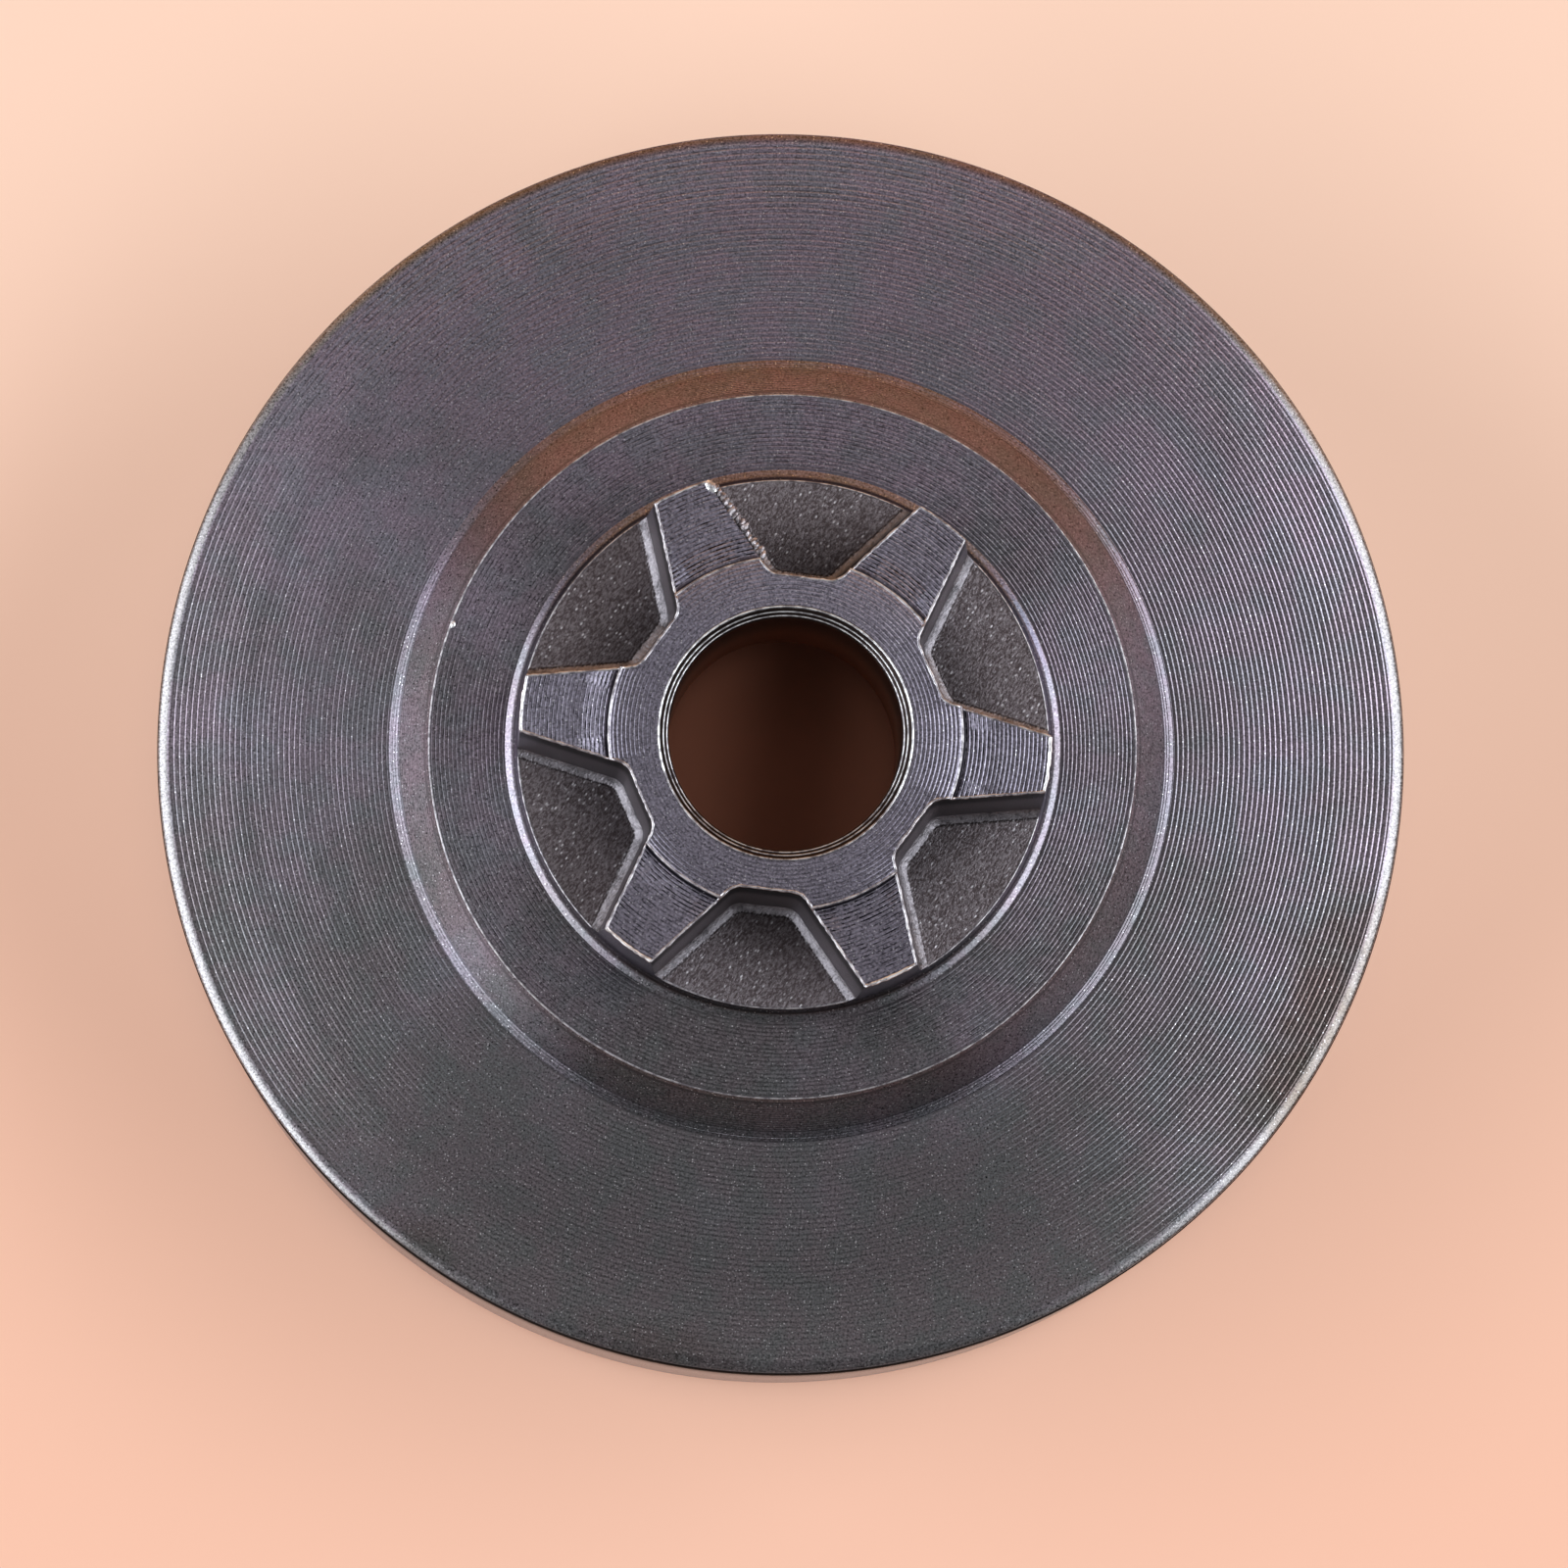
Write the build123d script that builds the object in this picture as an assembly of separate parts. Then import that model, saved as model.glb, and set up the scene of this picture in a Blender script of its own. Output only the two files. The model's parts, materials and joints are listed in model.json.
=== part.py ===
"""Clutch drum of a chainsaw: a turned steel cup with a six-tooth chain sprocket on its back.

Frame: the open rim of the cup stands on Z = 0, +Z is the spin axis and points from the open
mouth to the sprocket, and one tooth is centred on +X. All sizes are in millimetres.
"""
from build123d import *
import os
from math import cos, radians, sin, tan

# Cup: the drum that the clutch shoes grip from inside
drum_diameter = 70.5
cup_height = 16.0            # open rim to the turned outer face
wall_thickness = 3.0
web_thickness = 3.0          # outer face to the inside of the web
inner_corner_chamfer = 1.5   # web to wall, inside
face_chamfer = 0.6           # outer face to outside wall
mouth_chamfer = 0.5          # both edges of the open rim

# Conical step in the middle of the outer face
step_foot_diameter = 43.5    # where the cone would meet the face
step_top_diameter = 39.8
step_height = 2.1
step_foot_radius = 0.8

# Low boss that carries the teeth: its top is the gullet floor
boss_diameter = 29.8
boss_rise = 0.9              # above the step
boss_foot_radius = 0.45

# Sprocket, measured at the tooth tops
tooth_count = 6
tip_diameter = 29.5
tooth_height = 5.7           # above the gullet floor
tooth_tip_width = 2.95
flank_taper = 11.0           # degrees, each flank leans in towards the tip
root_distance = 8.75         # axis to the flat wall at the bottom of a gullet
root_corner_radius = 1.0
flank_draft = 3.0            # degrees, gullets open upwards
gullet_fillet_radius = 0.75  # gullet walls to gullet floor

# Hub with the bore for the needle cage
bore_diameter = 13.0
bore_chamfer = 0.65
hub_land_diameter = 19.45
hub_rise = 0.4               # above the tooth tops
hub_edge_slope = 0.22        # run of the sloping edge from land to tooth tops
thrust_boss_diameter = 21.0  # ring around the bore inside the cup
thrust_boss_height = 1.0
thrust_boss_chamfer = 0.4

# Levels along the spin axis
face_level = cup_height
step_level = face_level + step_height
floor_level = step_level + boss_rise
tooth_level = floor_level + tooth_height
hub_level = tooth_level + hub_rise
web_level = face_level - web_thickness
thrust_level = web_level - thrust_boss_height

# Radii about the spin axis
outer_radius = drum_diameter / 2
cup_radius = outer_radius - wall_thickness
bore_radius = bore_diameter / 2
thrust_radius = thrust_boss_diameter / 2
land_radius = hub_land_diameter / 2


def turned_section() -> Face:
    """Half section of the drum before the gullets are cut, in the XZ plane."""
    outline = [
        (bore_radius, thrust_level),
        (thrust_radius, thrust_level),
        (thrust_radius, web_level),
        (cup_radius, web_level),
        (cup_radius, 0),
        (outer_radius, 0),
        (outer_radius, face_level),
        (step_foot_diameter / 2, face_level),
        (step_top_diameter / 2, step_level),
        (boss_diameter / 2, step_level),
        (boss_diameter / 2, floor_level),
        (tip_diameter / 2, tooth_level),
        (land_radius + hub_edge_slope, tooth_level),
        (land_radius, hub_level),
        (bore_radius, hub_level),
    ]
    section = make_face(Polyline(*outline, close=True))

    def corner(radius: float, level: float):
        """The section's corner at this radius and level."""
        return section.vertices().sort_by_distance((radius, level, 0))[0]

    for radius, level, size in (
        (step_foot_diameter / 2, face_level, step_foot_radius),
        (boss_diameter / 2, step_level, boss_foot_radius),
    ):
        section = fillet(corner(radius, level), size)
    for radius, level, size in (
        (bore_radius, thrust_level, bore_chamfer),
        (thrust_radius, thrust_level, thrust_boss_chamfer),
        (cup_radius, web_level, inner_corner_chamfer),
        (cup_radius, 0, mouth_chamfer),
        (outer_radius, 0, mouth_chamfer),
        (outer_radius, face_level, face_chamfer),
        (bore_radius, hub_level, bore_chamfer),
    ):
        section = chamfer(corner(radius, level), size)
    return Plane.XZ * section


def gullet_cutter() -> Part:
    """The space between two teeth, opening along +X and up, from the hub's top to the gullet floor."""
    half_pitch = radians(180 / tooth_count)
    half_tip = tooth_tip_width / 2
    tip_radius = tip_diameter / 2
    # A tip corner of the next tooth, seen from the middle of the gullet
    tip_along = tip_radius * cos(half_pitch) + half_tip * sin(half_pitch)
    tip_across = tip_radius * sin(half_pitch) - half_tip * cos(half_pitch)
    # The flank's lean away from the middle of the gullet
    flank_slope = tan(half_pitch + radians(flank_taper))
    root_across = tip_across - (tip_along - root_distance) * flank_slope
    mouth_along = boss_diameter
    mouth_across = tip_across + (mouth_along - tip_along) * flank_slope
    plan = make_face(Polyline(
        (root_distance, -root_across), (mouth_along, -mouth_across),
        (mouth_along, mouth_across), (root_distance, root_across), close=True))
    plan = fillet(plan.vertices().group_by(Axis.X)[0], root_corner_radius)
    depth = hub_level - floor_level
    cutter = extrude(Pos(0, 0, hub_level) * plan, amount=-depth, taper=flank_draft)
    floor_edges = cutter.faces().sort_by(Axis.Z)[0].edges().sort_by(Axis.X)[:-1]
    return fillet(floor_edges, gullet_fillet_radius)


def clutch_drum() -> Part:
    """The whole drum, one piece: turned about +Z, then cut between the teeth."""
    blank = revolve(turned_section(), Axis.Z)
    first_gullet = 180 / tooth_count
    gullets = PolarLocations(0, tooth_count, start_angle=first_gullet)
    drum = blank - [place * gullet_cutter() for place in gullets]
    drum.label = "clutch_drum"
    return drum


os.makedirs("parts", exist_ok=True)
export_step(clutch_drum(), "parts/clutch_drum.step")
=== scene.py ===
"""Looks of a chainsaw clutch drum: dark turned steel with a six-tooth sprocket, on pale paper."""
import json
import logging
import math
import random
from dataclasses import dataclass, replace
from enum import Enum

import bpy
from mathutils import Matrix, Vector

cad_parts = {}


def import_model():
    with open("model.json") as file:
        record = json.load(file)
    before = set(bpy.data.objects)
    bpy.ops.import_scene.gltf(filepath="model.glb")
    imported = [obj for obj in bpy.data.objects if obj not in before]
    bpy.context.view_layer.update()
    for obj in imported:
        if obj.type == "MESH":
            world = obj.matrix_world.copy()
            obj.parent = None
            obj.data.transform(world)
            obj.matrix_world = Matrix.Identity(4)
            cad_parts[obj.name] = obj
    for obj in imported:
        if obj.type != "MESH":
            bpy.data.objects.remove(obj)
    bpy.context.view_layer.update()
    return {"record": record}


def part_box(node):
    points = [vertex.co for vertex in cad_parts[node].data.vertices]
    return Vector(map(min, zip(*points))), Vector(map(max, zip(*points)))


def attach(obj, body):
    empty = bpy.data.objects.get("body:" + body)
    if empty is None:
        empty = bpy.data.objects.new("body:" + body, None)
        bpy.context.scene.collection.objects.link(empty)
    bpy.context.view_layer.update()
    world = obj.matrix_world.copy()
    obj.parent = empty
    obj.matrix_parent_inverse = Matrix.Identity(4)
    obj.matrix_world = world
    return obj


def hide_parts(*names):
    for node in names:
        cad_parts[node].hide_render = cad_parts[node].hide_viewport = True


log = logging.getLogger("clutch_drum")

MM = 0.001
NODE = "clutch_drum"
BODY = "root"
PHOTO_PIXELS = 1600
FACE_LEVEL = 16.0  # millimetres from the open rim to the outer face

Point = tuple[float, float]
Span = tuple[float, float]               # from, to
Run = tuple[float, float, float, float]  # from, to, and the result at each
Sizes = tuple[float, float, float]
Colour = tuple[float, float, float, float]
Socket = bpy.types.NodeSocket

BLACK: Colour = (0.0, 0.0, 0.0, 1.0)
SPECK_EDGE: Run = (0.12, 0.30, 0.85, 0.0)  # strength of a speck by the distance from its middle
NEAR = 0.01  # millimetres, points closer than this count as level


def pick(obj: bpy.types.Object) -> None:
    """Make one object the only selected and the active one."""
    bpy.ops.object.select_all(action="DESELECT")
    obj.select_set(True)
    bpy.context.view_layer.objects.active = obj


def start_edit(obj: bpy.types.Object, mode: str) -> None:
    """Leave an object in object mode with nothing in its mesh selected.

    Args:
        obj: The mesh object to work on.
        mode: What is selected next, VERT, EDGE or FACE.
    """
    pick(obj)
    bpy.ops.object.mode_set(mode="EDIT")
    bpy.ops.mesh.select_mode(type=mode)
    bpy.ops.mesh.select_all(action="DESELECT")
    bpy.ops.object.mode_set(mode="OBJECT")


def end_edit() -> None:
    """Close edit mode."""
    bpy.ops.object.mode_set(mode="OBJECT")


def apply_modifiers(obj: bpy.types.Object) -> None:
    """Apply every modifier of an object, in order."""
    pick(obj)
    for modifier in list(obj.modifiers):
        bpy.ops.object.modifier_apply(modifier=modifier.name)


def arc(centre: Point, radius: float, start: float, end: float, steps: int) -> list[Point]:
    """Points of a round stretch of an outline.

    Args:
        centre: The arc's centre.
        radius: The arc's own radius.
        start: First angle in degrees, 0 along the first axis and 90 along the second.
        end: Last angle in degrees.
        steps: How many chords the arc gets.

    Returns:
        The points from start to end, both included.
    """
    angles = [math.radians(start + (end - start) * i / steps) for i in range(steps + 1)]
    return [(centre[0] + radius * math.cos(a), centre[1] + radius * math.sin(a)) for a in angles]


def around(corner: Point, offsets: tuple[Point, ...]) -> list[Point]:
    """The points that round off a corner of an outline, from their offsets to it."""
    return [(corner[0] + right, corner[1] + up) for right, up in offsets]


@dataclass(frozen=True)
class Spot:
    """Where a surface point lies in the drum's own frame, in millimetres."""

    place: Socket
    x: Socket
    y: Socket
    z: Socket
    radius: Socket  # distance from the spin axis


class Graph:
    """Short calls for building the nodes of one material or of the room."""

    def __init__(self, tree: bpy.types.NodeTree, shader: str) -> None:
        """Take up a node tree.

        Args:
            tree: The tree to add nodes to.
            shader: Name of the shader node that is already in it.
        """
        self.tree = tree
        self.shader = tree.nodes[shader]

    def node(self, kind: str, **settings: object) -> bpy.types.Node:
        """Add a node.

        Args:
            kind: The node's type name.
            settings: Properties to set on it.

        Returns:
            The new node.
        """
        made = self.tree.nodes.new(kind)
        for key, value in settings.items():
            setattr(made, key, value)
        return made

    def feed(self, socket: Socket, value: object) -> None:
        """Link a socket to another one, or set its own value.

        Args:
            socket: The input that is fed.
            value: An output socket, or a plain value.
        """
        if isinstance(value, bpy.types.NodeSocket):
            self.tree.links.new(value, socket)
        else:
            socket.default_value = value

    def math(self, operation: str, *values: object) -> Socket:
        """Add a Math node.

        Args:
            operation: The node's operation.
            values: Its inputs, sockets or numbers.

        Returns:
            The result.
        """
        made = self.node("ShaderNodeMath", operation=operation)
        for socket, value in zip(made.inputs, values):
            self.feed(socket, value)
        return made.outputs[0]

    def add(self, *values: Socket) -> Socket:
        """Add up any number of values."""
        total = values[0]
        for value in values[1:]:
            total = self.math("ADD", total, value)
        return total

    def product(self, *values: object) -> Socket:
        """Multiply any number of values."""
        total = values[0]
        for value in values[1:]:
            total = self.math("MULTIPLY", total, value)
        return total

    def split(self, vector: Socket) -> tuple[Socket, Socket, Socket]:
        """The three parts of a vector."""
        made = self.node("ShaderNodeSeparateXYZ")
        self.feed(made.inputs[0], vector)
        return tuple(made.outputs)

    def join(self, *parts: object) -> Socket:
        """A vector from its parts."""
        made = self.node("ShaderNodeCombineXYZ")
        for socket, value in zip(made.inputs, parts):
            self.feed(socket, value)
        return made.outputs[0]

    def ramp(self, value: Socket, low: float, high: float, start: float = 0.0, end: float = 1.0) -> Socket:
        """Smoothly turn one range of a value into another.

        Args:
            value: The value to read.
            low: Where the change begins.
            high: Where it ends.
            start: The result up to low.
            end: The result from high on.

        Returns:
            The new value.
        """
        made = self.node("ShaderNodeMapRange", interpolation_type="SMOOTHSTEP")
        for socket, number in zip(made.inputs, (value, low, high, start, end)):
            self.feed(socket, number)
        return made.outputs[0]

    def window(self, value: Socket, rise: Span, fall: Span) -> Socket:
        """1 where a value lies in a range, 0 outside it, with a soft rise and fall."""
        return self.math("MULTIPLY", self.ramp(value, *rise), self.ramp(value, *fall, 1.0, 0.0))

    def noise(self, place: Socket, scale: float, detail: float = 2.0, rough: float = 0.5) -> Socket:
        """Add a noise texture.

        Args:
            place: The coordinates, in millimetres.
            scale: Features per millimetre.
            detail: Octaves of finer noise.
            rough: Strength of the finer octaves.

        Returns:
            The noise value.
        """
        made = self.node("ShaderNodeTexNoise")
        for key, value in (("Vector", place), ("Scale", scale), ("Detail", detail), ("Roughness", rough)):
            self.feed(made.inputs[key], value)
        return made.outputs[0]

    def specks(self, place: Socket, scale: float, gate: float) -> Socket:
        """Scatter small round specks of uneven strength.

        Args:
            place: The coordinates, in millimetres.
            scale: Possible places for a speck for each millimetre.
            gate: Share of those places that stays empty.

        Returns:
            1 in the middle of the strongest specks, 0 between them.
        """
        made = self.node("ShaderNodeTexVoronoi")
        self.feed(made.inputs["Vector"], place)
        made.inputs["Scale"].default_value = scale
        chosen = self.ramp(self.split(made.outputs["Color"])[0], gate, 1.0)
        return self.math("MULTIPLY", chosen, self.ramp(made.outputs["Distance"], *SPECK_EDGE))

    def mix(self, share: object, first: object, second: object) -> Socket:
        """Blend two colours.

        Args:
            share: How much of the second one shows.
            first: Colour or socket at share 0.
            second: Colour or socket at share 1.

        Returns:
            The blended colour.
        """
        made = self.node("ShaderNodeMix", data_type="RGBA")
        for socket, value in zip((made.inputs[0], made.inputs[6], made.inputs[7]), (share, first, second)):
            self.feed(socket, value)
        return made.outputs[2]

    def times(self, share: object, first: object, second: object) -> Socket:
        """Multiply a colour by a second one.

        Args:
            share: How much of the product comes in, 0 to 1.
            first: A colour or a socket.
            second: A colour or a socket.

        Returns:
            The product.
        """
        product = self.mix(share, first, second)
        product.node.blend_type = "MULTIPLY"
        return product

    def millimetres(self) -> Socket:
        """The surface point in the drum's own frame, in millimetres."""
        made = self.node("ShaderNodeVectorMath", operation="SCALE")
        self.feed(made.inputs[0], self.node("ShaderNodeTexCoord").outputs["Object"])
        made.inputs["Scale"].default_value = 1 / MM
        return made.outputs["Vector"]

    def spot(self) -> Spot:
        """Where the surface point lies."""
        place = self.millimetres()
        x, y, z = self.split(place)
        square = self.math("MULTIPLY_ADD", x, x, self.math("MULTIPLY", y, y))
        return Spot(place, x, y, z, self.math("SQRT", square))

    def metal(self, colour: Socket, roughness: object, darkening: Socket | None = None) -> None:
        """Make the shader metal.

        Args:
            colour: The metal's colour.
            roughness: Its roughness, a socket or a number.
            darkening: Share of the surface that is matt painted shade instead, if there is any.
        """
        for key, value in (("Base Color", colour), ("Roughness", roughness), ("Metallic", 1.0)):
            self.feed(self.shader.inputs[key], value)
        if darkening is not None:
            self.feed(self.shader.inputs["Metallic"], self.math("MULTIPLY_ADD", darkening, -1.0, 1.0))
            self.feed(self.shader.inputs["Specular IOR Level"], self.math("MULTIPLY_ADD", darkening, -0.5, 0.5))

    def relief(self, height: Socket) -> None:
        """Feed the shader's normal from a height above the plain surface, in millimetres."""
        made = self.node("ShaderNodeBump")
        made.inputs["Strength"].default_value = 1.0
        made.inputs["Distance"].default_value = MM
        self.feed(made.inputs["Height"], height)
        self.feed(self.shader.inputs["Normal"], made.outputs[0])


def new_material(name: str) -> tuple[bpy.types.Material, Graph]:
    """Make a material with a plain shader.

    Args:
        name: The material's name.

    Returns:
        The material and its graph.
    """
    material = bpy.data.materials.new(name)
    material.use_nodes = True
    return material, Graph(material.node_tree, "Principled BSDF")


@dataclass(frozen=True)
class TurnedSteel:
    """Dark oxidised steel with the spiral groove that a turning tool leaves, and painted light and shade.
    Lengths are in millimetres.
    """

    name: str = "turned_steel"
    roughness: float = 0.32
    rough_spread: Span = (-0.05, 0.06)
    rough_gate: Span = (0.3, 0.7)    # of the grain, for that spread
    # Face, cone and hub
    colour: Colour = (0.384, 0.312, 0.386, 1.0)
    second_colour: Colour = (0.222, 0.193, 0.208, 1.0)
    tone_scale: float = 0.12         # patches of the two colours for each millimetre
    light_slant: float = 0.012        # painted light: growth of the paler tone for each millimetre towards +Y
    tone_gate: Span = (0.15, 0.85)
    tint: Colour = (0.88, 1.0, 0.96, 1.0)        # the cooler blotches
    tint_scale: float = 0.45
    tint_gate: Span = (0.38, 0.66)
    cone_light: Colour = (1.07, 1.01, 0.98, 1.0)  # painted light on the cone, lighter and warmer where Y is more than its side
    cone_start: Span = (19.95, 20.1)
    cone_end: Span = (21.5, 21.65)
    cone_side: Span = (-20.0, -8.0)
    foot_lift: Colour = (0.82, 0.82, 0.84, 1.0)  # of the foot of the cone
    foot_start: Span = (21.55, 21.65)
    foot_end: Span = (22.15, 22.3)
    outer_face_light: Colour = (1.15, 1.14, 1.13, 1.0)  # painted light: of the face, paler towards the rim
    edge_start: Span = (29.5, 33.0)
    boss_foot_shade: Colour = (0.72, 0.82, 0.95, 1.0)  # painted shade: of the boss's foot, darker and cooler where Y is more than its side
    boss_end: Span = (15.5, 15.65)
    boss_side: Span = (4.0, 9.0)
    hub_colour: Colour = (0.434, 0.392, 0.484, 1.0)
    hub_shaded: Colour = (0.350, 0.315, 0.387, 1.0)
    hub_radius: float = 14.95        # the teeth have it too
    hub_side: Span = (-8.0, 12.0)    # painted shade: Y from the darker second colour to the first
    hub_side_shade: Run = (4.0, 10.0, 0.0, 0.24)        # painted shade: share of black by the distance to the left or right
    # Rim and outside wall
    rim_colour: Colour = (0.353, 0.329, 0.334, 1.0)
    rim_start: float = 34.63         # rubbed bright, with a painted highlight, from here to the outside wall
    rim_delay: Run = (-30.0, -18.0, 0.2, 0.0)    # how much further out it starts, by Y, which thins the painted highlight at the front
    rim_highlight_sides: Run = (6.0, 24.0, 0.15, 1.0)        # painted highlight: how bright by the distance to the left or right
    rim_roughness: float = 0.31
    pit_scale: float = 2.6           # of the dull pits in it
    pit_gate: Span = (0.30, 0.40)
    rim_shade: Colour = (0.56, 0.56, 0.62, 1.0)  # of the rim, where Y is more than its side
    shade_side: Span = (20.0, 33.0)
    line_path: float = 19.70         # radius less level of a dark line of painted shade at the outside of the rim
    line_half: Span = (0.12, 0.20)   # half width, from full strength to none
    line_strength: float = 0.95
    line_shift: Run = (-32.0, -20.0, 0.14, 0.0)  # how much further in it lies, by Y
    line_fade: Run = (10.0, 25.0, 1.0, 0.4)      # share of its strength, by Y
    wall_colour: Colour = (0.36, 0.375, 0.42, 1.0)
    wall_radius: float = 35.2
    wall_top: float = 15.3
    under_rim_shade: Colour = (0.040, 0.031, 0.028, 1.0)   # painted shade on the outside wall, below the rim, darkest at its top
    under_rim_shade_levels: Span = (8.0, 14.6)
    # Grooves
    inner_feed: float = 0.235        # groove pitch from the hub to the step
    outer_feed: float = 0.281        # groove pitch where the outer face begins
    outer_feed_gain: float = 0.0031  # growth of that pitch for each millimetre outwards
    outer_start: float = 22.0        # radius where the outer face begins
    groove_depth: float = 0.0115
    groove_lean: float = 0.25        # how much steeper a groove is on its outward side
    groove_wear: Run = (-35.0, -20.0, 0.4, 1.0)  # share of the depth that is left, by Y
    uneven_scale: float = 0.9
    uneven: Run = (0.3, 0.7, 0.92, 1.08)         # factor on the depth, by noise
    bands: tuple[Sizes, ...] = (     # from radius, to radius, strength of the grooves
        (7.1, 9.75, 0.64),    # hub
        (9.95, 11.4, 1.15),   # teeth beside the hub
        (11.3, 14.8, 0.85),   # teeth
        (15.6, 19.85, 0.75),  # top of the step
        (20.0, 21.6, 0.34),   # cone
        (21.5, 22.2, 0.40),   # foot of the cone
        (22.1, 27.0, 1.0),    # outer face, cut deeper and deeper
        (26.9, 31.0, 1.12),
        (30.9, 34.55, 1.25),
    )
    band_edge: float = 0.1
    # Painted shade, grain and stains
    darkening: tuple[Point, ...] = (      # radius of a line of painted shade in a corner, its strength
        (9.96, 0.75), (15.12, 0.70), (15.75, 0.5),
        (19.80, 0.45), (20.14, 0.55), (21.62, 0.35), (22.27, 0.4),
    )
    darkening_half: Span = (0.026, 0.13)  # half width of those lines, from full strength to none
    groove_darkening: Run = (19.9, 22.1, 0.85, 0.44)  # painted shade in the grooves, by radius
    groove_floor: Span = (-0.9, 0.1)             # heights of the groove's wave, from full painted shade to none
    front_fade: Run = (-34.0, -10.0, 0.3, 1.0)        # share of that painted shade that is left, by Y
    shade_patches_scale: float = 2.2
    shade_patches: Run = (0.35, 0.65, 0.35, 1.3)         # factor on that painted shade, by noise
    grain_depth: float = 0.006
    grain_scale: float = 8.0         # grains for each millimetre
    grain_dirt: Run = (0.28, 0.72, 0.66, 0.0)    # share of black, by the grain
    speck: Colour = (0.72, 0.69, 0.72, 1.0)
    speck_scale: float = 6.0
    speck_gate: float = 0.5
    stain: Colour = (0.46, 0.36, 0.25, 1.0)      # what is left of the metal's colour
    stain_scale: float = 0.7
    stain_ragged: float = 0.9
    stain_edge: Span = (0.55, 1.55)
    stains: tuple[tuple[float, ...], ...] = (    # degrees about the axis, radius, width, length, strength
        (-18.2, 33.6, 3.4, 8.5, 0.68),
        (-26.5, 34.3, 3.0, 5.0, 0.68),
        (-95.0, 34.3, 1.8, 6.0, 0.30),
        (-119.5, 34.4, 1.6, 4.0, 0.30),
    )

    def wave(self, g: Graph, spot: Spot) -> Socket:
        """Shape of the spiral groove at a point of the surface.

        Args:
            g: The material's graph.
            spot: The point.

        Returns:
            The height, about 1 on a ridge and -1 in the groove.
        """
        path = g.math("SUBTRACT", spot.radius, spot.z)
        inner = g.math("DIVIDE", path, self.inner_feed)
        away = g.math("ADD", path, FACE_LEVEL - self.outer_start)
        growth = g.math("MULTIPLY_ADD", away, self.outer_feed_gain / self.outer_feed, 1.0)
        outer = g.math("DIVIDE", g.math("LOGARITHM", growth, math.e), self.outer_feed_gain)
        beyond = g.math("GREATER_THAN", spot.radius, self.outer_start)
        passes = g.math("MULTIPLY_ADD", beyond, g.math("SUBTRACT", outer, inner), inner)
        turn = g.math("DIVIDE", g.math("ARCTAN2", spot.y, spot.x), math.tau)
        angle = g.math("MULTIPLY", g.math("ADD", passes, turn), math.tau)
        second = g.math("SINE", g.math("MULTIPLY", angle, 2.0))
        return g.math("MULTIPLY_ADD", second, -self.groove_lean, g.math("SINE", angle))

    def cut_strength(self, g: Graph, radius: Socket) -> Socket:
        """How deep the tool cut at a radius.

        Args:
            g: The material's graph.
            radius: Distance from the spin axis.

        Returns:
            A factor on the groove's depth.
        """
        uneven = g.ramp(g.noise(g.join(radius), self.uneven_scale), *self.uneven)
        cuts = []
        for start, end, strength in self.bands:
            begun = g.ramp(radius, start, start + self.band_edge, 0.0, strength)
            cuts.append(g.math("MULTIPLY", begun, g.ramp(radius, end - self.band_edge, end, 1.0, 0.0)))
        return g.math("MULTIPLY", uneven, g.add(*cuts))

    def face_tone(self, g: Graph, spot: Spot) -> Socket:
        """The clean metal's colour with its painted light and shade, but for the rim and the outside wall.

        Args:
            g: The material's graph.
            spot: The point.

        Returns:
            The colour.
        """
        # painted light: the face is paler towards +Y, over random patches of the two colours
        side = g.math("MULTIPLY_ADD", spot.y, self.light_slant, g.noise(spot.place, self.tone_scale, 3.0))
        tone = g.mix(g.ramp(side, *self.tone_gate), self.second_colour, self.colour)
        blotch = g.ramp(g.noise(spot.place, self.tint_scale, 3.0, 0.6), *self.tint_gate)
        cone = g.window(spot.radius, self.cone_start, self.cone_end)
        boss = g.ramp(spot.radius, *self.boss_end, 1.0, 0.0)
        # the cool blotches are the metal's own tone; the cone's and the outer face's lifts are painted
        # light, the boss's foot painted shade
        for share, lift in (
            (blotch, self.tint),
            (g.math("MULTIPLY", cone, g.ramp(spot.y, *self.cone_side)), self.cone_light),
            (g.window(spot.radius, self.foot_start, self.foot_end), self.foot_lift),
            (g.ramp(spot.radius, *self.edge_start), self.outer_face_light),
            (g.math("MULTIPLY", boss, g.ramp(spot.y, *self.boss_side)), self.boss_foot_shade),
        ):
            tone = g.times(share, tone, lift)
        # painted shade: the hub and teeth are darker towards -Y and to the left and right
        hub = g.mix(g.ramp(spot.y, *self.hub_side), self.hub_shaded, self.hub_colour)
        hub = g.mix(g.ramp(g.math("ABSOLUTE", spot.x), *self.hub_side_shade), hub, BLACK)
        return g.mix(g.math("LESS_THAN", spot.radius, self.hub_radius), tone, hub)

    def shiny_share(self, g: Graph, spot: Spot) -> Socket:
        """How much of the rim is rubbed bright at a point, with a painted highlight to the left and right.

        Args:
            g: The material's graph.
            spot: The point.

        Returns:
            A share from 0 to 1.
        """
        pits = g.ramp(g.noise(spot.place, self.pit_scale, 3.0, 0.7), *self.pit_gate)
        # painted highlight: brightest to the left and right, where the lamps are
        rubbed = g.ramp(g.math("ABSOLUTE", spot.x), *self.rim_highlight_sides)
        run = g.math("SUBTRACT", spot.radius, g.ramp(spot.y, *self.rim_delay))
        return g.product(g.ramp(run, self.rim_start, self.rim_start + self.band_edge), rubbed, pits)

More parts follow.
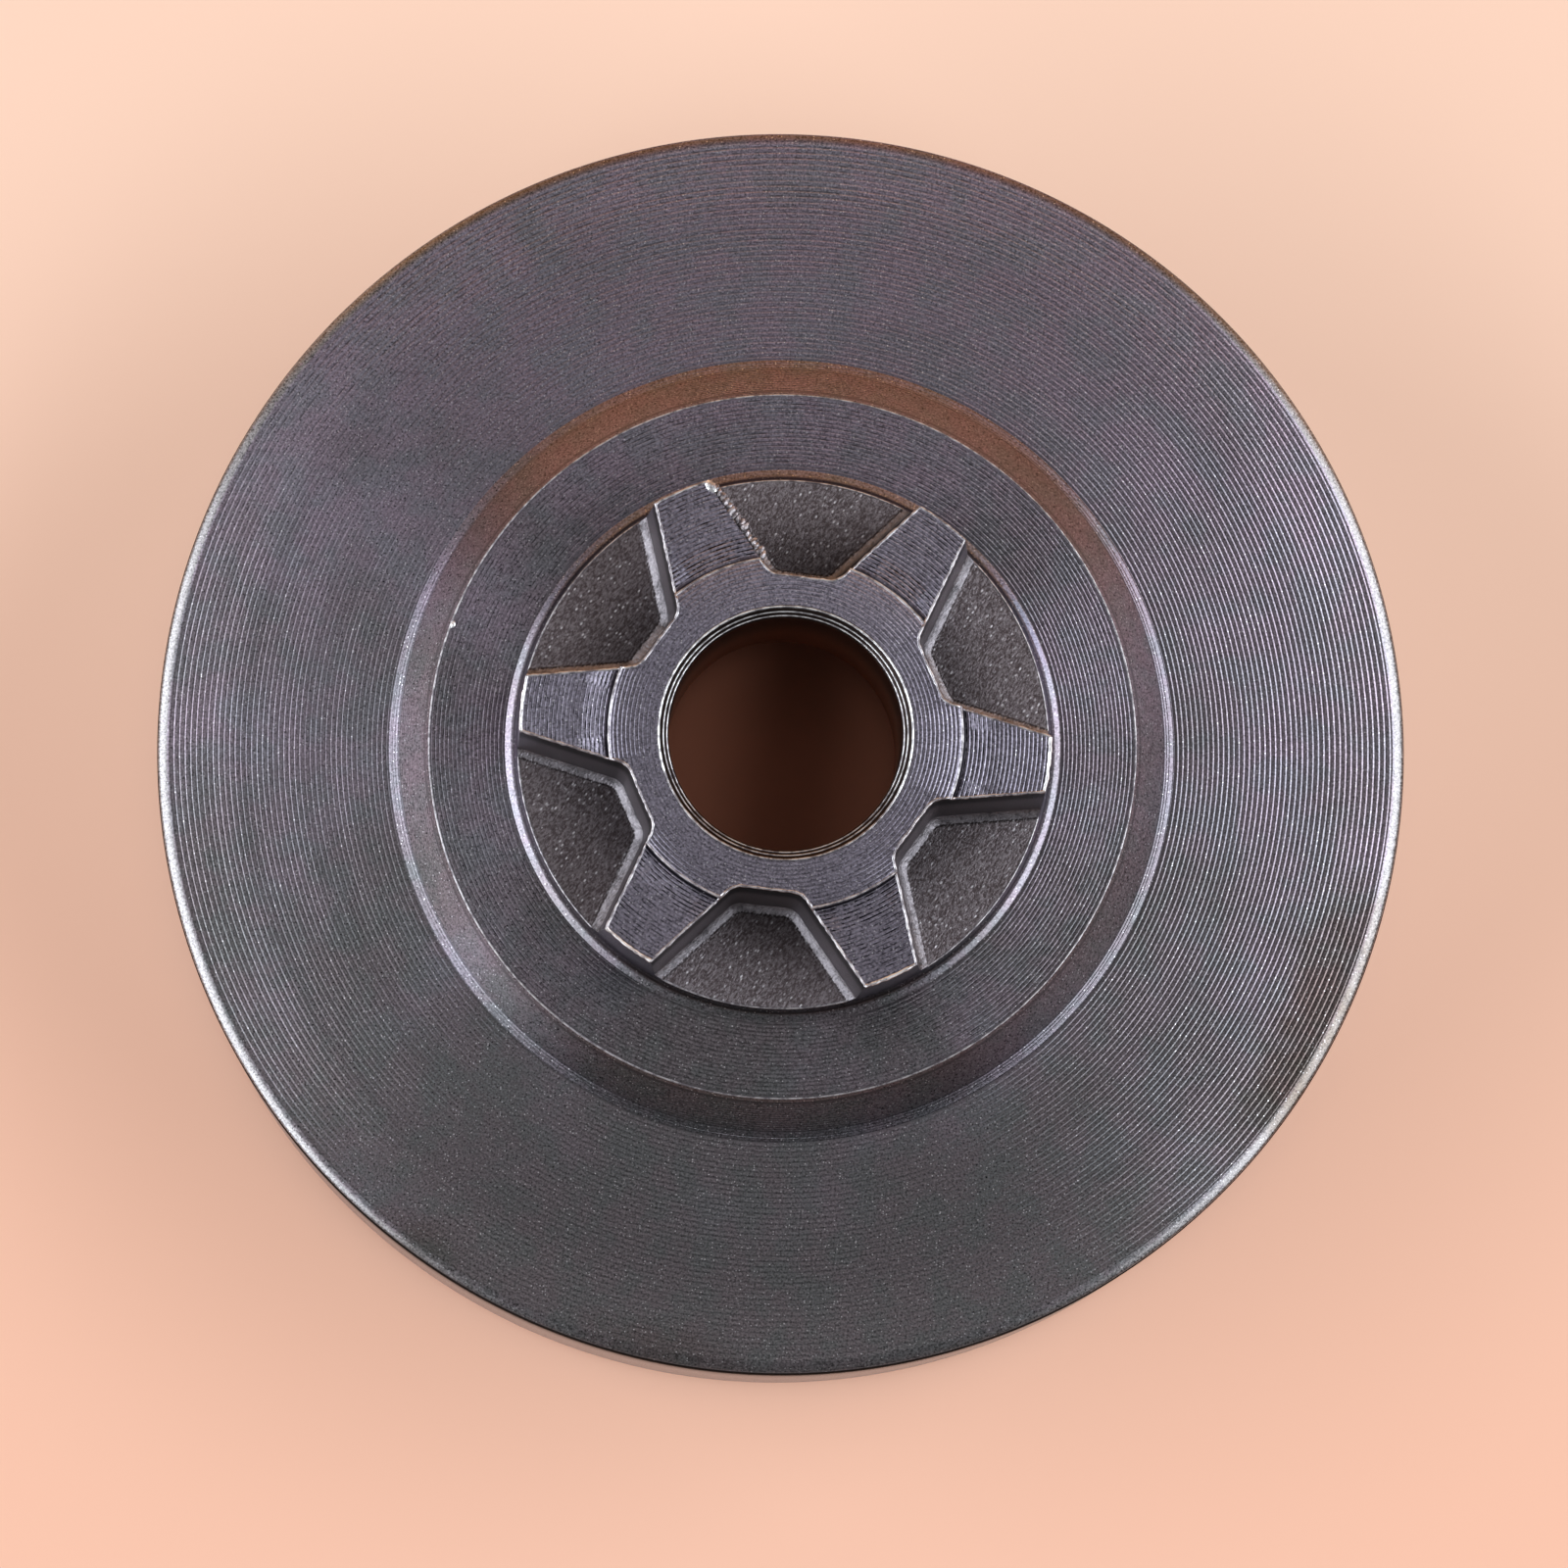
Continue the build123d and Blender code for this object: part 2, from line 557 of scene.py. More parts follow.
    def line_share(self, g: Graph, spot: Spot) -> Socket:
        """How dark the line of painted shade at the outside of the rim is at a point.

        Args:
            g: The material's graph.
            spot: The point.

        Returns:
            A share from 0 to the line's strength.
        """
        path = g.math("SUBTRACT", g.math("SUBTRACT", spot.radius, spot.z), self.line_path)
        off = g.math("ABSOLUTE", g.math("ADD", path, g.ramp(spot.y, *self.line_shift)))
        line = g.ramp(off, *self.line_half, self.line_strength, 0.0)
        return g.math("MULTIPLY", line, g.ramp(spot.y, *self.line_fade))

    def groove_shade_share(self, g: Graph, spot: Spot, wave: Socket, cut: Socket) -> Socket:
        """How much painted shade lies in the grooves at a point.

        Args:
            g: The material's graph.
            spot: The point.
            wave: Height of the groove's wave there.
            cut: How deep the tool cut there.

        Returns:
            A share from 0 to about 1.
        """
        front_fade = g.ramp(spot.y, *self.front_fade)
        shade_patches = g.ramp(g.noise(spot.place, self.shade_patches_scale, 3.0, 0.7), *self.shade_patches)
        full = g.ramp(wave, *self.groove_floor, 1.0, 0.0)
        return g.product(full, shade_patches, g.ramp(spot.radius, *self.groove_darkening), front_fade, cut)

    def corner_shade_share(self, g: Graph, radius: Socket) -> Socket:
        """How much of the painted shade in the turned corners shows at a radius.

        Args:
            g: The material's graph.
            radius: Distance from the spin axis.

        Returns:
            A share from 0 to 1.
        """
        lines = []
        for middle, strength in self.darkening:
            off = g.math("ABSOLUTE", g.math("SUBTRACT", radius, middle))
            lines.append(g.ramp(off, *self.darkening_half, strength, 0.0))
        return g.add(*lines)

    def stain_share(self, g: Graph, place: Socket) -> Socket:
        """How much of the stains by the rim shows at a point.

        Args:
            g: The material's graph.
            place: The point, in millimetres.

        Returns:
            A share from 0 to the strength of the strongest stain.
        """
        patch = g.noise(place, self.stain_scale, 3.0)
        shares = []
        for degrees, radius, width, length, strength in self.stains:
            angle = math.radians(degrees)
            shift = g.node("ShaderNodeMapping", vector_type="TEXTURE")
            g.feed(shift.inputs["Vector"], place)
            shift.inputs["Location"].default_value = (
                radius * math.cos(angle), radius * math.sin(angle), FACE_LEVEL)
            shift.inputs["Rotation"].default_value = (0.0, 0.0, angle)
            shift.inputs["Scale"].default_value = (width, length, width)
            reach = g.node("ShaderNodeVectorMath", operation="LENGTH")
            g.feed(reach.inputs[0], shift.outputs[0])
            ragged = g.math("MULTIPLY_ADD", patch, self.stain_ragged, reach.outputs["Value"])
            shares.append(g.ramp(ragged, *self.stain_edge, strength, 0.0))
        most = shares[0]
        for share in shares[1:]:
            most = g.math("MAXIMUM", most, share)
        return most

    def build(self) -> bpy.types.Material:
        """Make the material."""
        material, g = new_material(self.name)
        spot = g.spot()
        wave, cut = self.wave(g, spot), self.cut_strength(g, spot.radius)
        depth = g.product(cut, g.ramp(spot.y, *self.groove_wear), self.groove_depth)
        grain = g.noise(spot.place, self.grain_scale, 3.0, 0.6)
        g.relief(g.math("MULTIPLY_ADD", grain, self.grain_depth, g.math("MULTIPLY", wave, depth)))

        # the rim's wear carries a painted highlight
        shiny, line = self.shiny_share(g, spot), self.line_share(g, spot)
        tone = g.mix(shiny, self.face_tone(g, spot), self.rim_colour)
        rim = g.ramp(spot.radius, self.rim_start, self.rim_start + self.band_edge)
        tone = g.times(g.math("MULTIPLY", rim, g.ramp(spot.y, *self.shade_side)), tone, self.rim_shade)
        outside = g.math("GREATER_THAN", spot.radius, self.wall_radius)
        wall = g.math("MULTIPLY", outside, g.math("LESS_THAN", spot.z, self.wall_top))
        tone = g.mix(wall, tone, self.wall_colour)
        # painted shade: a matt black band on the outside wall, darkest just below the rim
        under_rim_shade = g.math("MULTIPLY", outside, g.ramp(spot.z, *self.under_rim_shade_levels))
        tone = g.mix(under_rim_shade, tone, self.under_rim_shade)

        dark = g.add(self.corner_shade_share(g, spot.radius), line)
        for share in (self.groove_shade_share(g, spot, wave, cut), g.ramp(grain, *self.grain_dirt)):
            dark = g.math("MAXIMUM", share, dark)
        tone = g.times(self.stain_share(g, spot.place), g.mix(dark, tone, BLACK), self.stain)
        # the painted shade below the rim and at its outside line is matt, not metal
        matt_shade = g.math("MAXIMUM", under_rim_shade, line)
        specks = g.specks(spot.place, self.speck_scale, self.speck_gate)
        specks = g.math("MULTIPLY", specks, g.math("MULTIPLY_ADD", matt_shade, -1.0, 1.0))
        rough = g.ramp(grain, *self.rough_gate, *(self.roughness + change for change in self.rough_spread))
        polish = g.math("MULTIPLY_ADD", shiny, self.rim_roughness - self.roughness, rough)
        g.metal(g.mix(specks, tone, self.speck), polish, matt_shade)
        return material


@dataclass(frozen=True)
class CastSteel:
    """The gullets as they came from the mould: dark flecked floors, pale fillets and darker walls, with
    painted shade in the deep ends, on the upper walls and on one flank.

    Lengths are in millimetres, levels are heights above the open rim.
    """

    floor_level: float
    tooth_level: float
    name: str = "cast_steel"
    colour: Colour = (0.096, 0.074, 0.077, 1.0)
    pale: Colour = (0.265, 0.230, 0.245, 1.0)
    pale_gate: Span = (0.36, 0.68)
    deep_shade: Run = (9.4, 13.6, 0.5, 0.0)   # share of black by radius, in the deep end of a gullet
    roughness: float = 0.40
    fleck: Colour = (0.85, 0.81, 0.85, 1.0)
    fleck_scale: float = 4.4
    fleck_gate: float = 0.24
    grain_turn: float = 58.0   # degrees about the spin axis, the way that the flecks are drawn out
    grain_stretch: float = 1.9
    grain_scale: float = 9.5
    grain_depth: float = 0.042
    fillet: Colour = (0.275, 0.250, 0.270, 1.0)
    fillet_rise: Span = (0.05, 0.10)          # above the floor, where the paler fillet comes in
    fillet_ragged: float = 0.16               # how far that edge wanders up and down
    fillet_grain: Run = (0.25, 0.75, 0.45, 0.0)   # share of black in it, by the grain
    fillet_patch: Run = (0.3, 0.6, 0.4, 0.0)      # share of black in it, by noise
    patch_scale: float = 1.1
    foot_rise: Span = (0.002, 0.05)           # the dark line at the fillet's foot
    foot_dark: float = 0.75
    wall: Colour = (0.205, 0.186, 0.204, 1.0)
    wall_rise: Span = (0.36, 0.46)
    wall_shade: Run = (-2.4, -1.0, 0.1, 0.9)   # painted shade: share of black in it, by the height over the tooth tops
    flank_shade: Colour = (0.036, 0.032, 0.034, 1.0)
    shaded_flank: Span = (62.0, 79.0)          # degrees about the axis, a flank with no shine, painted matt black as shade
    flank_shade_rise: Span = (0.08, 0.40)

    def flank_shade_share(self, g: Graph, spot: Spot, rise: Socket) -> Socket:
        """How much painted shade lies on that flank at a point.

        Args:
            g: The material's graph.
            spot: The point.
            rise: Its height above the gullet floor.

        Returns:
            A share from 0 to 1.
        """
        turn = g.math("ARCTAN2", spot.y, spot.x)
        start, end = (math.radians(edge) for edge in self.shaded_flank)
        flank = g.math("MULTIPLY", g.math("GREATER_THAN", turn, start), g.math("LESS_THAN", turn, end))
        return g.math("MULTIPLY", flank, g.ramp(rise, *self.flank_shade_rise))

    def floor_tone(self, g: Graph, spot: Spot, grain: Socket, streaks: Socket) -> Socket:
        """The colour of a gullet's floor.

        Args:
            g: The material's graph.
            spot: The point.
            grain: Fine grain at that point.
            streaks: The point in the drawn-out frame of the flecks.

        Returns:
            The colour.
        """
        tone = g.mix(g.ramp(grain, *self.pale_gate), self.colour, self.pale)
        tone = g.mix(g.specks(streaks, self.fleck_scale, self.fleck_gate), tone, self.fleck)
        return g.mix(g.ramp(spot.radius, *self.deep_shade), tone, BLACK)

    def wall_tone(self, g: Graph, spot: Spot, grain: Socket, rise: Socket, floor: Socket) -> Socket:
        """The colour of the fillets and walls over the floor's own, with painted shade on the upper walls.

        Args:
            g: The material's graph.
            spot: The point.
            grain: Fine grain at that point.
            rise: Its height above the gullet floor.
            floor: The floor's colour.

        Returns:
            The colour.
        """
        foot_end = g.ramp(rise, *self.fillet_rise, self.foot_dark, 0.0)
        tone = g.mix(g.math("MULTIPLY", g.ramp(rise, *self.foot_rise), foot_end), floor, BLACK)
        middle = g.math("SUBTRACT", rise, self.fillet_ragged / 2)
        ragged = g.math("MULTIPLY_ADD", grain, self.fillet_ragged, middle)
        patch = g.ramp(g.noise(spot.place, self.patch_scale, 3.0, 0.7), *self.fillet_patch)
        smooth = g.mix(g.add(g.ramp(grain, *self.fillet_grain), patch), self.fillet, BLACK)
        tone = g.mix(g.ramp(ragged, *self.fillet_rise), tone, smooth)
        over = g.math("SUBTRACT", spot.z, self.tooth_level)
        upper = g.mix(g.ramp(over, *self.wall_shade), self.wall, BLACK)
        return g.mix(g.ramp(rise, *self.wall_rise), tone, upper)

    def build(self) -> bpy.types.Material:
        """Make the material."""
        material, g = new_material(self.name)
        spot = g.spot()
        rise = g.math("SUBTRACT", spot.z, self.floor_level)
        drawn = g.node("ShaderNodeMapping", vector_type="TEXTURE")
        g.feed(drawn.inputs["Vector"], spot.place)
        drawn.inputs["Rotation"].default_value = (0.0, 0.0, math.radians(self.grain_turn))
        drawn.inputs["Scale"].default_value = (self.grain_stretch, 1.0, 1.0)
        streaks = drawn.outputs[0]
        grain = g.noise(streaks, self.grain_scale, 3.0, 0.6)
        g.relief(g.math("MULTIPLY", grain, self.grain_depth))
        floor = self.floor_tone(g, spot, grain, streaks)
        # painted shade: one flank is matt black
        flank_shade = self.flank_shade_share(g, spot, rise)
        g.metal(g.mix(flank_shade, self.wall_tone(g, spot, grain, rise, floor), self.flank_shade), self.roughness, flank_shade)
        return material


@dataclass(frozen=True)
class BoreSteel:
    """The bore, near black with painted shade at its top and brown lower down with a painted reflection of
    the paper. Levels are in millimetres.
    """

    name: str = "bore_steel"
    low_reflection: Colour = (0.46, 0.26, 0.18, 1.0)
    top_shade: Colour = (0.050, 0.036, 0.033, 1.0)
    levels: Span = (16.5, 22.5)  # of the low reflection and the top shade
    roughness: float = 0.3

    def build(self) -> bpy.types.Material:
        """Make the material."""
        material, g = new_material(self.name)
        tone = g.mix(g.ramp(g.spot().z, *self.levels), self.low_reflection, self.top_shade)
        g.metal(tone, self.roughness)
        return material


@dataclass(frozen=True)
class BareSteel:
    """Bright metal where edges were rolled over or rubbed clean."""

    name: str = "bare_steel"
    colour: Colour = (0.60, 0.57, 0.59, 1.0)
    dull: Colour = (0.22, 0.20, 0.22, 1.0)
    roughness: float = 0.40
    patch_scale: float = 2.0
    patch_gate: Span = (0.38, 0.60)

    def build(self) -> bpy.types.Material:
        """Make the material."""
        material, g = new_material(self.name)
        patch = g.ramp(g.noise(g.millimetres(), self.patch_scale, 3.0, 0.7), *self.patch_gate)
        g.metal(g.mix(patch, self.dull, self.colour), self.roughness)
        return material


@dataclass(frozen=True)
class PolishedAndLitSteel(BareSteel):
    """Tooth tips that the chain has rubbed bright, partly a painted highlight, and a painted highlight on
    the far half of the bore's lips.
    """

    name: str = "polished_steel"
    colour: Colour = (0.95, 0.93, 0.94, 1.0)
    dull: Colour = (0.42, 0.39, 0.41, 1.0)
    roughness: float = 0.36


@dataclass(frozen=True)
class TornSteel(BareSteel):
    """Crumbs of bright and dark metal on a torn edge."""

    name: str = "torn_steel"
    colour: Colour = (0.44, 0.40, 0.42, 1.0)
    dull: Colour = (0.13, 0.11, 0.12, 1.0)
    roughness: float = 0.48
    patch_scale: float = 4.0


@dataclass(frozen=True)
class Paper:
    """Matt paper under the drum, with painted light and shade on it. Lengths are in millimetres."""

    drum_radius: float
    name: str = "paper"
    near: Colour = (0.830, 0.484, 0.356, 1.0)
    far: Colour = (0.861, 0.584, 0.454, 1.0)
    sides: Span = (-40.0, 40.0)      # Y of the near colour and the far one: painted light, paler towards the far side
    roughness: float = 0.9
    shine: float = 0.1
    deep: Colour = (0.70, 0.275, 0.175, 1.0)         # painted shade: a deeper colour in the dark under the drum
    deep_inset: float = 3.0          # from the drum's outline to that dark
    deep_shade: Run = (0.0, 8.0, 0.1, 0.4)           # share of black there, by Y
    glow: float = 0.35               # share of the picture's background that takes no shadow
    glow_edge: Span = (-2.0, 3.0)    # from the drum's outline, where the glow comes in
    bore_edge: Span = (6.0, 9.0)     # radii where the painted light that falls through the bore ends
    bore_left: Run = (-6.0, 0.5, 0.070, 0.0)         # that light, by X
    bore_right: Run = (1.5, 6.5, 0.0, 0.036)

    def glow_share(self, g: Graph, spot: Spot) -> Socket:
        """How much of the paper's colour glows at a point.

        Args:
            g: The material's graph.
            spot: The point.

        Returns:
            A share from 0 to the glow, for the camera and for what mirrors the paper, and 0 for other light.
        """
        ray = g.node("ShaderNodeLightPath").outputs
        mirrored = g.math("MAXIMUM", ray["Is Glossy Ray"], ray["Is Transmission Ray"])
        seen = g.math("MAXIMUM", ray["Is Camera Ray"], mirrored)
        start, end = (self.drum_radius + reach for reach in self.glow_edge)
        outside = g.ramp(spot.radius, start, end, 0.0, self.glow)
        aside = g.add(g.ramp(spot.x, *self.bore_left), g.ramp(spot.x, *self.bore_right))
        through = g.math("MULTIPLY", aside, g.ramp(spot.radius, *self.bore_edge, 1.0, 0.0))
        return g.math("MULTIPLY", seen, g.add(outside, through))

    def build(self) -> bpy.types.Material:
        """Make the material."""
        material, g = new_material(self.name)
        spot = g.spot()
        sheet = g.mix(g.ramp(spot.y, *self.sides), self.near, self.far)
        under = g.math("LESS_THAN", spot.radius, self.drum_radius - self.deep_inset)
        # painted shade under the drum, blacker towards +Y
        deep = g.mix(g.ramp(spot.y, *self.deep_shade), self.deep, BLACK)
        g.feed(g.shader.inputs["Base Color"], g.mix(under, sheet, deep))
        g.feed(g.shader.inputs["Roughness"], self.roughness)
        g.feed(g.shader.inputs["Specular IOR Level"], self.shine)
        glow = g.node("ShaderNodeEmission")
        g.feed(glow.inputs["Color"], g.mix(under, sheet, self.deep))
        blend = g.node("ShaderNodeMixShader")
        parts = (self.glow_share(g, spot), g.shader.outputs[0], glow.outputs[0])
        for socket, value in zip(blend.inputs, parts):
            g.feed(socket, value)
        g.feed(g.tree.nodes["Material Output"].inputs["Surface"], blend.outputs[0])
        return material


@dataclass
class DrumBody:
    """The whole drum: a turned cup with a stepped back, and gullets cut between the teeth.

    Lengths are in millimetres, levels are heights above the open rim.
    """

    outer_radius: float
    hub_level: float
    bore_radius: float
    cup_radius: float
    face_level: float = FACE_LEVEL
    rim_round: tuple[Point, ...] = (   # offsets of the section's points from the rim's sharp corner
        (-0.70, 0.0), (-0.67, -0.01), (-0.53, -0.05), (-0.35, -0.125),
        (-0.20, -0.205), (-0.09, -0.275), (-0.05, -0.34), (0.0, -0.60),
    )
    mouth_chamfer: float = 0.5
    web_thickness: float = 3.0
    inner_corner: float = 2.0
    step_foot: float = 21.75
    step_edge: float = 19.9
    step_height: float = 2.1
    foot_rise: float = 0.31  # of the narrow facet at the foot of the cone
    foot_run: float = 0.45   # from the cone's line to the facet's outer end
    foot_lean: float = 0.3   # share of that run which lies inside the cone's line
    facet_round: tuple[Point, ...] = ((0.0, 0.0), (0.05, -0.04))  # offsets from the facet's top
    foot_round: tuple[Point, ...] = ((-0.05, 0.02), (0.0, -0.01), (0.08, 0.0))  # and from its outer end
    boss_radius: float = 14.9
    boss_rise: float = 0.9
    boss_side: tuple[Point, ...] = ((0.0, 0.0), (0.12, -0.45))  # offsets from the boss's upper edge
    boss_fillet: float = 0.45
    boss_round: tuple[Point, ...] = (  # offsets from the outer end of that fillet
        (-0.08, 0.17), (-0.02, 0.13), (0.22, 0.02), (0.27, -0.01), (0.36, 0.0),
    )
    tip_radius: float = 14.75
    tooth_height: float = 5.7
    tooth_count: int = 6
    tip_width: float = 3.06
    flank_taper: float = 11.0
    flank_draft: float = 4.4
    root_distance: float = 8.75
    root_corner: float = 1.0
    gullet_fillet: float = 0.62
    fillet_lean: float = 0.62  # height of the gullet fillets for each millimetre of their width
    fillet_profile: float = 0.34
    gullet_reach: float = 17.0
    bore_chamfer: float = 0.65
    land_radius: float = 9.725
    land_slope: float = 0.22
    land_round: tuple[Point, ...] = (  # offsets from the land's edge
        (-0.10, 0.0), (0.02, -0.04), (0.12, -0.10), (0.17, -0.20),
    )
    land_foot: tuple[Point, ...] = ((0.0, -0.04), (0.10, 0.0))  # and from the foot of its slope
    thrust_radius: float = 10.5
    thrust_height: float = 1.0
    thrust_chamfer: float = 0.4
    turns: int = 480
    crisp_angle: float = 28.0  # degrees, sharper edges stay crisp

    @property
    def step_level(self) -> float:
        """Top of the conical step."""
        return self.face_level + self.step_height

    @property
    def floor_level(self) -> float:
        """Floor of the gullets."""
        return self.step_level + self.boss_rise

    @property
    def tooth_level(self) -> float:
        """Top of the teeth."""
        return self.floor_level + self.tooth_height

    @property
    def flank_lean(self) -> float:
        """Angle in radians between a flank and the middle line of its gullet."""
        return math.radians(180 / self.tooth_count + self.flank_taper)

    def hub_section(self) -> list[Point]:
        """Section of the bore's upper chamfer, the hub land and its sloping edge."""
        return [
            (self.bore_radius, self.hub_level - self.bore_chamfer),
            (self.bore_radius + self.bore_chamfer, self.hub_level),
            *around((self.land_radius, self.hub_level), self.land_round),
            *around((self.land_radius + self.land_slope, self.tooth_level), self.land_foot),
        ]

    def rim_section(self) -> list[Point]:
        """Section of the outer face's rim and the open mouth, from outside to inside."""
        mouth, rim = self.mouth_chamfer, self.outer_radius
        return [
            *around((rim, self.face_level), self.rim_round),
            (rim, mouth), (rim - mouth, 0), (self.cup_radius + mouth, 0), (self.cup_radius, mouth),
        ]

    def section(self) -> list[Point]:
        """Half section of the drum, as radius and level, once round."""
        web = self.face_level - self.web_thickness
        thrust = web - self.thrust_height
        facet_top = (self.step_foot - self.foot_run * self.foot_lean, self.face_level + self.foot_rise)
        corner_centre = (self.cup_radius - self.inner_corner, web - self.inner_corner)
        return [
            (self.bore_radius, thrust + self.bore_chamfer),
            *self.hub_section(),
            (self.tip_radius, self.tooth_level),
            *around((self.boss_radius, self.floor_level), self.boss_side),
            *around((self.boss_radius + self.boss_fillet, self.step_level), self.boss_round),
            (self.step_edge, self.step_level),
            *around(facet_top, self.facet_round),
            *around((self.step_foot + self.foot_run, self.face_level), self.foot_round),
            *self.rim_section(),
            *arc(corner_centre, self.inner_corner, 0, 90, 8),
            (self.thrust_radius, web), (self.thrust_radius, thrust + self.thrust_chamfer),
            (self.thrust_radius - self.thrust_chamfer, thrust),
            (self.bore_radius + self.bore_chamfer, thrust),
        ]

    def turned_blank(self) -> bpy.types.Object:
        """Spin the section into the drum before its gullets are cut.

        Returns:
            The closed blank.
        """
        section = self.section()
        bpy.ops.mesh.primitive_circle_add(vertices=len(section), radius=MM)
        blank = bpy.context.active_object
        blank.name = blank.data.name = "drum_body"
        for vertex, (radius, level) in zip(blank.data.vertices, section):
            vertex.co = (radius * MM, 0.0, level * MM)
        start_edit(blank, "VERT")
        bpy.ops.object.mode_set(mode="EDIT")
        bpy.ops.mesh.select_all(action="SELECT")
        bpy.ops.mesh.spin(steps=self.turns, angle=math.tau, center=(0, 0, 0), axis=(0, 0, 1))
        bpy.ops.mesh.select_all(action="SELECT")
        bpy.ops.mesh.remove_doubles(threshold=MM * 1e-3)
        bpy.ops.mesh.normals_make_consistent(inside=False)
        end_edit()
        return blank

    def gullet_plan(self) -> tuple[Point, Point]:
        """Corners of one side of a gullet at the hub's top, along and across its middle line.

        Returns:
            The root corner and the tip corner of the tooth beside it.
        """
        half_pitch = math.pi / self.tooth_count
        half_tip = self.tip_width / 2
        along = self.tip_radius * math.cos(half_pitch) + half_tip * math.sin(half_pitch)
        across = self.tip_radius * math.sin(half_pitch) - half_tip * math.cos(half_pitch)
        root = (self.root_distance, across - (along - self.root_distance) * math.tan(self.flank_lean))
        return root, (along, across)

    def gullet_cutter(self) -> bpy.types.Object:
        """A tool in the shape of the space between two teeth, opening along +X.

        Returns:
            The closed tool, with the gullet's fillets on it.
        """
        root, tip = self.gullet_plan()
        lean = self.flank_lean
        mouth = (self.gullet_reach, tip[1] + (self.gullet_reach - tip[0]) * math.tan(lean))
        over = 1.0  # how far the tool stands above the hub
        bpy.ops.mesh.primitive_cube_add(size=2 * MM)
        cutter = bpy.context.active_object
        cutter.name = cutter.data.name = "gullet_cutter"
        for vertex in cutter.data.vertices:
            corner = mouth if vertex.co.x > 0 else root
            side = 1 if vertex.co.y > 0 else -1
            level = self.hub_level + over if vertex.co.z > 0 else self.floor_level
            shift = (level - self.hub_level) * math.tan(math.radians(self.flank_draft))
            root_shift = shift if vertex.co.x < 0 else 0.0
            across = corner[1] + shift / math.cos(lean) - root_shift * math.tan(lean)
            vertex.co = ((corner[0] - root_shift) * MM, side * across * MM, level * MM)
        start_edit(cutter, "EDGE")
        for edge in cutter.data.edges:
            a, b = (cutter.data.vertices[i].co for i in edge.vertices)
            edge.select = abs(a.z - b.z) > MM and max(a.x, b.x) < (self.root_distance + 1) * MM
        bpy.ops.object.mode_set(mode="EDIT")
        tangent = self.root_corner * math.tan((math.pi / 2 - lean) / 2)
        bpy.ops.mesh.bevel(offset=tangent * MM, segments=6, affect="EDGES", offset_type="OFFSET")
        bpy.ops.mesh.select_all(action="DESELECT")
        end_edit()
        for edge in cutter.data.edges:
            a, b = (cutter.data.vertices[i].co for i in edge.vertices)
            at_floor = max(a.z, b.z) < (self.floor_level + NEAR) * MM
            edge.select = at_floor and min(a.x, b.x) < (self.gullet_reach - 0.5) * MM
        self.stretch(cutter, 1 / self.fillet_lean)
        bpy.ops.object.mode_set(mode="EDIT")
        bpy.ops.mesh.bevel(
            offset=self.gullet_fillet * MM, segments=5, profile=self.fillet_profile,
            affect="EDGES", offset_type="OFFSET")
        bpy.ops.mesh.select_all(action="SELECT")
        bpy.ops.mesh.normals_make_consistent(inside=False)
        end_edit()
        self.stretch(cutter, self.fillet_lean)
        return cutter

    def stretch(self, cutter: bpy.types.Object, factor: float) -> None:
        """Stretch or shrink the tool upwards from the gullet floor."""
        floor = self.floor_level * MM
        for vertex in cutter.data.vertices:
            vertex.co.z = floor + (vertex.co.z - floor) * factor

    def cut_gullets(self, blank: bpy.types.Object, cast: bpy.types.Material) -> None:
        """Cut the space between each pair of teeth.

        Args:
            blank: The turned drum, changed in place.
            cast: The finish of the cut walls and floors.
        """
        pattern = self.gullet_cutter()
        pattern.data.materials.append(cast)
        pitch = math.tau / self.tooth_count
        for i in range(self.tooth_count):
            cutter = pattern.copy()
            cutter.data = pattern.data.copy()
            cutter.data.transform(Matrix.Rotation(pitch * (i + 0.5), 4, "Z"))
            bpy.context.scene.collection.objects.link(cutter)
            cut = blank.modifiers.new("gullet", "BOOLEAN")
            cut.operation = "DIFFERENCE"
            cut.solver = "EXACT"
            cut.material_mode = "TRANSFER"
            cut.object = cutter
            apply_modifiers(blank)
            bpy.data.objects.remove(cutter)
        bpy.data.objects.remove(pattern)

    def finish_faces(self, drum: bpy.types.Object) -> None:
        """Give the bore its own finish.

        Args:
            drum: The cut drum.
        """
        drum.data.materials.append(BoreSteel().build())
        bore = (self.bore_radius + self.bore_chamfer) * MM
        for face in drum.data.polygons:
            if math.hypot(face.center.x, face.center.y) < bore:
                face.material_index = len(drum.data.materials) - 1

    def smooth(self, drum: bpy.types.Object) -> None:
        """Shade rounds smooth, keep edges crisp and flats flat.

        Args:
            drum: The finished mesh.
        """
        pick(drum)
        bpy.ops.object.shade_smooth_by_angle(angle=math.radians(self.crisp_angle))
        weighted = drum.modifiers.new("flats", "WEIGHTED_NORMAL")
        weighted.keep_sharp = True
        apply_modifiers(drum)

    def build(self) -> bpy.types.Object:
        """Make and dress the drum.

        Returns:
            The finished piece.
        """
        drum = self.turned_blank()
        drum.data.materials.append(TurnedSteel().build())
        self.cut_gullets(drum, CastSteel(self.floor_level, self.tooth_level).build())
        self.finish_faces(drum)
        self.smooth(drum)
        return drum


class EdgeState(Enum):
    """How the metal was left along a sharp edge."""

    ROLLED = "rounded a little and rubbed by handling"
    # also a painted highlight, on the far half of the bore's lips and on some tooth tips
    POLISHED = "rubbed bright by the chain"
    TORN = "torn into crumbs by the turning tool as it left the tooth"


